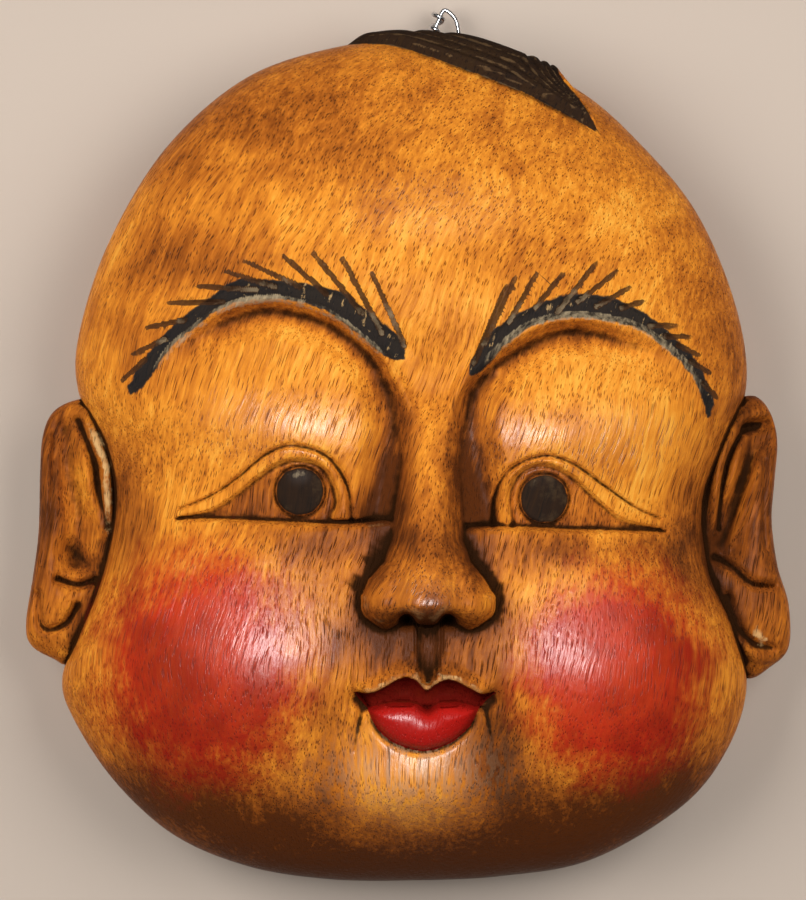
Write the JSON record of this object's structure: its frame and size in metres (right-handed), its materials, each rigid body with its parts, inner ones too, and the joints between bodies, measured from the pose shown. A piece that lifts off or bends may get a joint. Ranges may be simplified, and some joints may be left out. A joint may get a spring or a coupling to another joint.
{
  "type": "wooden wall mask",
  "caption": "Carved wooden wall mask of a round, smiling bald child's face with a lock of hair, hollow behind, with a wire loop to hang it by.",
  "frame": {"origin": "on the plane of the mask's flat back rim, under the middle of the whole object's box", "axes": "+Z out of the face, from the back rim to the nose; +Y from the chin to the top of the head; +X to the viewer's right"},
  "size_m": [0.2696, 0.31, 0.0997],
  "materials": {
    "carved_wood": "golden brown stain under satin lacquer, with red, black and dark brown painted areas",
    "bright_wire": "bright galvanised wire"
  },
  "bodies": {
    "root": {"mask": "carved_wood", "hanging_wire": "bright_wire"}
  },
  "joints": []
}
